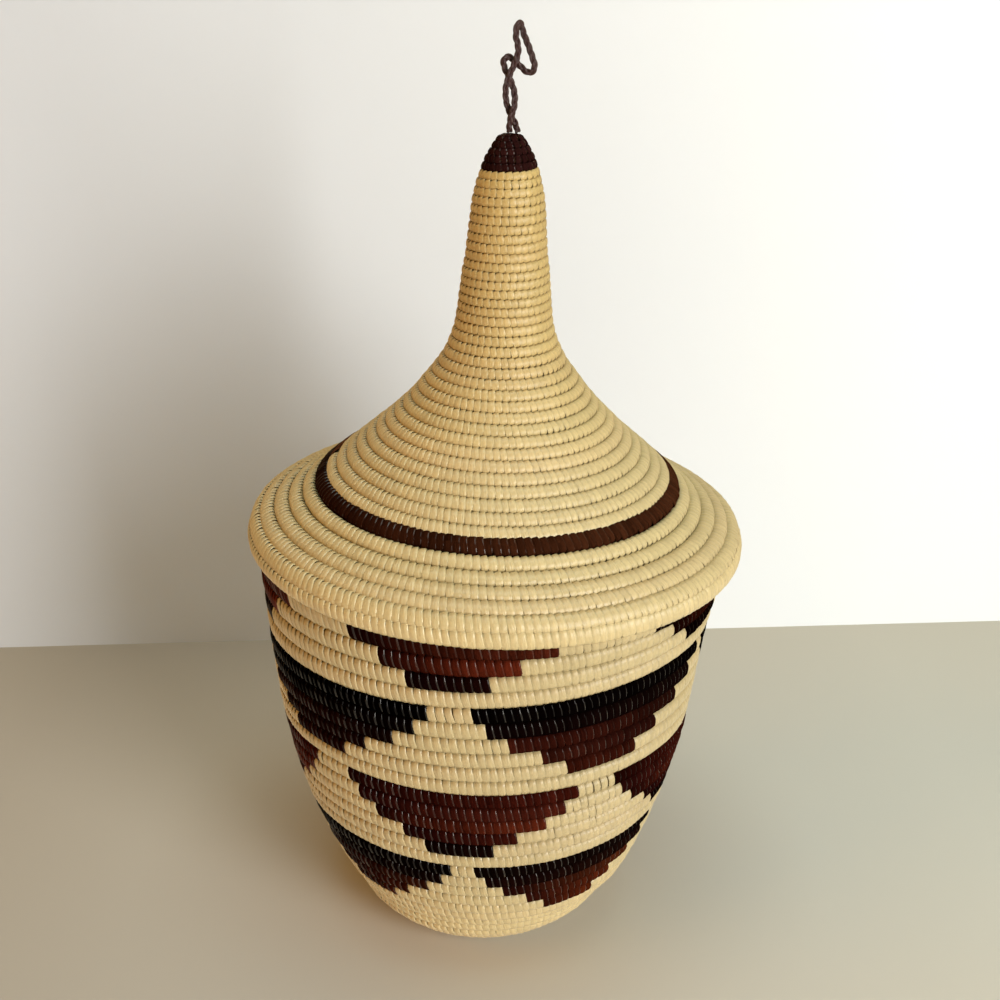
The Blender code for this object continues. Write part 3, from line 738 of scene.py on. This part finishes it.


# each finish's tuck value sets the painted shade on a strip's tucked edge
materialSet = {
    "naturalSisal": {
        "streaks": 0.10, "toneSpread": 0.05, "paintedTuckShade": 0.12, "edgeCoat": 1.0, "coatRoughness": 0.24,
        "roughness": 0.33, "roughnessSpread": 0.06, "bump": 0.35, "bumpDepth": 0.00012, "shine": 0.5,
    },
    "dyedSisal": {
        "streaks": 0.30, "toneSpread": 0.22, "paintedTuckShade": 0.30, "edgeCoat": 0.8, "coatRoughness": 0.19,
        "roughness": 0.36, "roughnessSpread": 0.06, "bump": 0.4, "bumpDepth": 0.00012, "shine": 0.0,
    },
    "grassCore": {
        "colour": (140, 112, 70), "streaks": 0.25, "toneSpread": 0.1, "paintedTuckShade": 0.0, "edgeCoat": 0.0,
        "coatRoughness": 0.5, "roughness": 0.7, "roughnessSpread": 0.05, "bump": 0.3, "bumpDepth": 0.0002,
        "shine": 0.2,
    },
    "darkCord": {
        "colour": (50, 25, 25), "streaks": 0.35, "toneSpread": 0.12, "paintedTuckShade": 0.0, "edgeCoat": 0.0,
        "coatRoughness": 0.3, "roughness": 0.42, "roughnessSpread": 0.1, "bump": 0.5, "bumpDepth": 0.0002,
        "shine": 0.5,
    },
}
finishes = {name: stripMaterial(name, look) for name, look in materialSet.items()}
loop.data.materials.append(finishes["darkCord"])
print("materials mixed")

# Wrapping the coils
sisalSet = {
    "natural": (193, 177, 134),
    "golden": (182, 158, 102),
    "cap": (38, 17, 16),
    "ring": ((20, 5, 3), (78, 44, 26)),  # at its end and at its start
    "shades": 200,  # of natural sisal, one after the other along a coil
    "shadeSeed": 12,
    "shadesPerTurn": 0.7,
    "shadeSpread": 0.030,
    "hueSpread": 0.010,
    "paintedBodyShade": ((0, 17, 23), (0.84, 0.84, 1.0)),  # rows down, and a factor on the natural colour: painted shade, darker on the wall above the foot
    "goldenShare": (1.0, 0.72, 0.25, 0.05),  # at the spire's top and foot, on the cone, and at the ring
    "goldenRows": 9,  # of cone, from the spire's foot to the third of these
    "bodySpacing": 0.0020,
    "coneSpacing": 0.0018,
    "spireSpacing": 0.00175,
    "capSpacing": 0.0016,
    "bodySlant": 11.0,  # degrees
    "brimSlant": 12.0,
    "slantSpread": 2.8,
    "width": 1.06,  # of a strip, in spacings
    "widthSpread": 0.09,
    "height": (1.09, 0.02),  # of a wrap, in row heights, and how uneven
    "pointsPerTurn": 110,  # of a coil's middle line
    "leastPoints": 3,
}
coreSet = {
    "radius": 0.39,  # in thicknesses of the coil
    "sides": 6,
    "basket": (0.1, 0.3, 0.005),  # turns left free at its start and its end, and the distance of its rings
    "lid": (0.3, 0.1, 0.004),
}
ringSet = {
    "start": 266,  # degrees round from the front
    "overlap": 22,  # how far it runs on past its start, one row lower
    "rise": 0.0006,
    "stand": 0.0002,
    "height": (1.36, 0.15),  # its wraps bite into the row above
}
natural, golden = np.array(linearColour(*sisalSet["natural"])), np.array(linearColour(*sisalSet["golden"]))
rowChance = np.random.RandomState(sisalSet["shadeSeed"]).uniform(-1, 1, (sisalSet["shades"], 4))


def runHolder(name, coil, runs, colourAt, spacing):  # the runs' middle lines, with what the trees read
    places, outs, sizes, colours, edges = [], [], [], [], []
    for start, end, *rest in runs:
        radius = placeOnCoil(coil, np.array([start, end]))[4].mean()
        inset = spacing / 2 / (math.tau * radius)
        count = max(sisalSet["leastPoints"], round((end - start) * sisalSet["pointsPerTurn"]))
        turns = np.linspace(start + inset, end - inset, count)
        place, out, height, thick, _ = placeOnCoil(coil, turns)
        first = sum(len(p) for p in places)
        edges += [(first + i, first + i + 1) for i in range(len(turns) - 1)]
        places.append(place)
        outs.append(out)
        sizes.append(np.stack([thick, thick * 0, height], axis=1))  # the trees read X and Z
        share = (turns - start) / (end - start)
        colours.append(colourAt(turns, share, *rest))
    mesh = bpy.data.meshes.new(name)
    mesh.from_pydata(np.concatenate(places).tolist(), edges, [])
    for key, kind, values in (("out", "FLOAT_VECTOR", outs), ("size", "FLOAT_VECTOR", sizes)):
        mesh.attributes.new(key, kind, "POINT").data.foreach_set("vector", np.concatenate(values).ravel())
    dye = np.concatenate(colours)
    dye = np.concatenate([dye, np.ones((len(dye), 1))], axis=1)
    mesh.attributes.new("dye", "FLOAT_COLOR", "POINT").data.foreach_set("color", dye.ravel())
    return newObject(name + "_line", mesh)


def setPiece(name, holder, mesh, spare, body, nodes):  # without what only the tree reads
    for key in spare:
        mesh.attributes.remove(mesh.attributes[key])
    mesh.name = name
    bpy.data.objects.remove(holder)
    piece = newObject(name, mesh)
    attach(piece, body)
    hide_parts(*nodes)
    print(f"{name}: {len(mesh.polygons)} faces")


def wrapPiece(
    name, coil, runs, colourAt, body, nodes, finish, spacing, slant, seed, shape=fullWrap,
    height=sisalSet["height"],
):
    holder = runHolder(name, coil, runs, colourAt, spacing)
    mesh = applyTree(holder, wrapTree, {
        "Wrap": shape,
        "Spacing": spacing,
        "Width": sisalSet["width"],
        "Width Spread": sisalSet["widthSpread"],
        "Slant": math.radians(slant),
        "Slant Spread": math.radians(sisalSet["slantSpread"]),
        "Height": height[0],
        "Height Spread": height[1],
        "Seed": seed,
        "Material": finishes[finish],
    })
    setPiece(name, holder, mesh, ("out", "size"), body, nodes)


def corePiece(name, coil, body, nodes):
    freeStart, freeEnd, spacing = coreSet[body]
    run = (coil["first"] + freeStart, coil["last"] - freeEnd)
    holder = runHolder(name, coil, [run], plainColour, spacing)
    mesh = applyTree(holder, coreTree, {
        "Spacing": spacing,
        "Radius": coreSet["radius"],
        "Sides": coreSet["sides"],
        "Material": finishes["grassCore"],
    })
    setPiece(name, holder, mesh, ("out", "size", "dye"), body, nodes)


def shadeRows(turns, base):  # rows of natural sisal differ a little, and change slowly along the coil
    places = turns * sisalSet["shadesPerTurn"]
    bright, *hue = (np.interp(places, np.arange(len(rowChance)), column) for column in rowChance.T)
    shade, tint = sisalSet["shadeSpread"] * bright[:, None], sisalSet["hueSpread"] * np.stack(hue, axis=1)
    return base * (1 + shade + tint)


def plainColour(turns, share):  # painted shade: natural colour darker on the wall above the foot, where light falls less, paler towards the foot
    return shadeRows(turns, natural) * np.interp(turns, *sisalSet["paintedBodyShade"])[:, None]


def lidColour(turns, share):  # golden at the spire's top, pale at the brim
    rows = [spireStart, coneStart, coneStart + sisalSet["goldenRows"], ringRow]
    goldenShare = np.interp(turns, rows, sisalSet["goldenShare"])[:, None]
    return shadeRows(turns, natural * (1 - goldenShare) + golden * goldenShare)


def capColour(turns, share):
    return np.tile(linearColour(*sisalSet["cap"]), (len(turns), 1))


def dyedColour(turns, share, left, right, tone=1.0):  # turns run from right to left, seen from the front
    left, right = np.array(linearColour(*left)), np.array(linearColour(*right))
    return (right + (left - right) * share[:, None]) * tone


dyedRuns = [run for runs in figures.values() for run in runs]
wallPieces = {  # with their first row and the row where they end
    "basket_wall_upper": (0, 9),
    "basket_wall_lower": (9, 20),
    "basket_foot": (20, wallCoil["last"]),
}
for number, (name, (start, end)) in enumerate(wallPieces.items()):
    wrapPiece(
        name, wallCoil, undyed(start, end, dyedRuns), plainColour, "basket", ["basket_coil"],
        "naturalSisal", sisalSet["bodySpacing"], sisalSet["bodySlant"], seed=10 + number,
    )
for number, (name, runs) in enumerate(figures.items()):
    wrapPiece(
        name + "_wraps", wallCoil, runs, dyedColour, "basket", [name],
        "dyedSisal", sisalSet["bodySpacing"], sisalSet["bodySlant"], seed=30 + number,
    )
wrapPiece(
    "neck_collar_wraps", collarCoil, [(0, collarSet["rows"])], plainColour, "basket", ["neck_collar"],
    "naturalSisal", sisalSet["bodySpacing"], sisalSet["bodySlant"], seed=60,
)
corePiece("basket_core", wallCoil, "basket", ["basket_coil"])

ringStart = ringRow + 0.5 - ringSet["start"] / 360
ringRun = (ringStart, ringStart + 1 + ringSet["overlap"] / 360, *sisalSet["ring"])
ringCoil = dict(lidCoil, edges=lidCoil["edges"] - ringSet["rise"], stand=ringSet["stand"])
wrapPiece(
    "lid_cone", lidCoil, [(coneStart, ringRun[0])], lidColour, "lid", ["lid_coil"],
    "naturalSisal", sisalSet["coneSpacing"], sisalSet["brimSlant"], seed=70,
)
wrapPiece(
    "lid_brim", lidCoil, [(ringRun[1], lidCoil["last"])], lidColour, "lid", ["lid_coil"],
    "naturalSisal", sisalSet["bodySpacing"], sisalSet["brimSlant"], seed=71,
)
wrapPiece(
    "lid_ring", ringCoil, [ringRun], dyedColour, "lid", ["lid_dark_ring"],
    "dyedSisal", sisalSet["bodySpacing"], sisalSet["brimSlant"], seed=72, height=ringSet["height"],
)
wrapPiece(
    "spire_wraps", lidCoil, [(spireStart, coneStart)], lidColour, "lid", ["spire_coil"],
    "naturalSisal", sisalSet["spireSpacing"], sisalSet["bodySlant"], seed=73, shape=halfWrap,
)
wrapPiece(
    "tip_cap_wraps", lidCoil, [(-1, spireStart)], capColour, "lid", ["spire_tip_cap"],
    "dyedSisal", sisalSet["capSpacing"], sisalSet["bodySlant"], seed=74, shape=halfWrap,
)
corePiece("lid_core", lidCoil, "lid", ["lid_coil"])

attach(loop, "loop")
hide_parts("hanging_loop")
for spare in (fullWrap, halfWrap):
    bpy.data.objects.remove(spare)
print("coils wrapped")

# Table, wall and light
stageSet = {
    "floorFalloffColours": ((173, 170, 164), (208, 210, 206)),  # painted light falloff, darker at the left and lighter at the right of the picture
    # the wall's painted light falloff, at the left and at the right of the picture
    "wallFalloffColours": ((194, 202, 213), (220, 228, 236)),
    "falloffWidth": 0.36,  # over which one changes to the other
    "bounceColours": ((160, 148, 122), (246, 242, 232)),  # of wall and table, as they light the basket
    "roughness": (0.8, 0.6),  # of wall and table
    "shine": 0.2,
    "wallPlace": (0.0, 0.161),  # of the line where wall and table meet
    "wallTurn": 7.5,  # degrees
    "wallSize": (4, 2.5),
    "tableReach": 3,  # to the front and to both sides
    "lights": {  # place, width and height, power, colour
        "window": ((0.95, -1.12, 0.44), (0.6, 1.3), 32.5, (1.0, 0.95, 0.87)),
        "ceiling": ((0.0, -0.13, 1.62), (0.9, 0.9), 11.0, (0.86, 1.0, 0.92)),
        "warmFill": ((-1.24, -0.55, 0.76), (0.9, 0.9), 8.0, (1.0, 0.44, 0.06)),
    },
    "aim": (0, 0, 0.13),
    "skyColour": (1.0, 0.86, 0.66),
    "skyLevel": 0.03,
}


def falloffPlane(name, corners, colours, bounce, roughness):  # plain, but with painted light falloff, darker at the left and lighter at the right
    mesh = bpy.data.meshes.new(name)
    mesh.from_pydata(corners, [], [(0, 1, 2, 3)])
    made = bpy.data.materials.new(name)
    made.use_nodes = True
    tree = made.node_tree
    shader = tree.nodes["Principled BSDF"]
    place = addNode(tree, "ShaderNodeTexCoord", (-800, 0))
    parts = addNode(tree, "ShaderNodeSeparateXYZ", (-600, 0), {0: place.outputs["Object"]})
    reach = stageSet["falloffWidth"] / 2
    share = addNode(
        tree, "ShaderNodeMapRange", (-400, 0),
        {"Value": parts.outputs[0], "From Min": -reach, "From Max": reach},
    )
    # painted light falloff: the colour seen goes from the darker left colour to the lighter right one
    left, right = ((*linearColour(*colour), 1) for colour in colours)
    mixed = addNode(
        tree, "ShaderNodeMix", (-200, 0),
        {"Factor": share.outputs[0], "A": left, "B": right}, data_type="RGBA",
    )
    path = addNode(tree, "ShaderNodeLightPath", (-400, -300))
    seen = addNode(
        tree, "ShaderNodeMix", (0, 0),
        {
            "Factor": path.outputs["Is Camera Ray"], "A": (*linearColour(*bounce), 1),
            "B": socket(mixed.outputs, "Result"),
        },
        data_type="RGBA",
    )
    tree.links.new(socket(seen.outputs, "Result"), shader.inputs["Base Color"])
    shader.inputs["Roughness"].default_value = roughness
    shader.inputs["Specular IOR Level"].default_value = stageSet["shine"]
    facing = addNode(tree, "ShaderNodeNewGeometry", (0, -300))
    hidden = mathNode(  # its back doesn't block a view from behind
        tree, "MULTIPLY", (200, -300), facing.outputs["Backfacing"], path.outputs["Is Camera Ray"]
    )
    clear = addNode(tree, "ShaderNodeBsdfTransparent", (400, -200))
    shown = addNode(
        tree, "ShaderNodeMixShader", (600, 0), {0: hidden, 1: shader.outputs[0], 2: clear.outputs[0]}
    )
    tree.links.new(shown.outputs[0], tree.nodes["Material Output"].inputs["Surface"])
    mesh.materials.append(made)
    plane = newObject(name, mesh)


wallX, wallY = stageSet["wallPlace"]
slope = math.tan(math.radians(stageSet["wallTurn"]))
half, height = stageSet["wallSize"][0] / 2, stageSet["wallSize"][1]
leftEnd, rightEnd = (wallX - half, wallY - half * slope), (wallX + half, wallY + half * slope)
wallBounce, tableBounce = stageSet["bounceColours"]
wallRoughness, tableRoughness = stageSet["roughness"]
reach = stageSet["tableReach"]
falloffPlane(
    "table", [(-reach, -reach, 0), (reach, -reach, 0), (*rightEnd, 0), (*leftEnd, 0)],
    stageSet["floorFalloffColours"], tableBounce, tableRoughness,
)
falloffPlane(
    "backdrop", [(*leftEnd, 0), (*rightEnd, 0), (*rightEnd, height), (*leftEnd, height)],
    stageSet["wallFalloffColours"], wallBounce, wallRoughness,
)

for name, (place, sides, power, colour) in stageSet["lights"].items():
    light = bpy.data.lights.new(name, "AREA")
    light.shape = "RECTANGLE"
    (light.size, light.size_y), light.energy, light.color = sides, power, colour
    lamp = bpy.data.objects.new(name, light)
    lamp.location = place
    lamp.visible_glossy = name != "warmFill"  # no orange streak on dark sisal
    lamp.rotation_euler = (Vector(stageSet["aim"]) - lamp.location).to_track_quat("-Z", "Y").to_euler()
    bpy.context.scene.collection.objects.link(lamp)

world = bpy.data.worlds.new("room")
bpy.context.scene.world = world
world.use_nodes = True
world.node_tree.nodes["Background"].inputs["Color"].default_value = (*stageSet["skyColour"], 1)
world.node_tree.nodes["Background"].inputs["Strength"].default_value = stageSet["skyLevel"]
bpy.context.scene.view_settings.view_transform = "Standard"
print("stage lit")
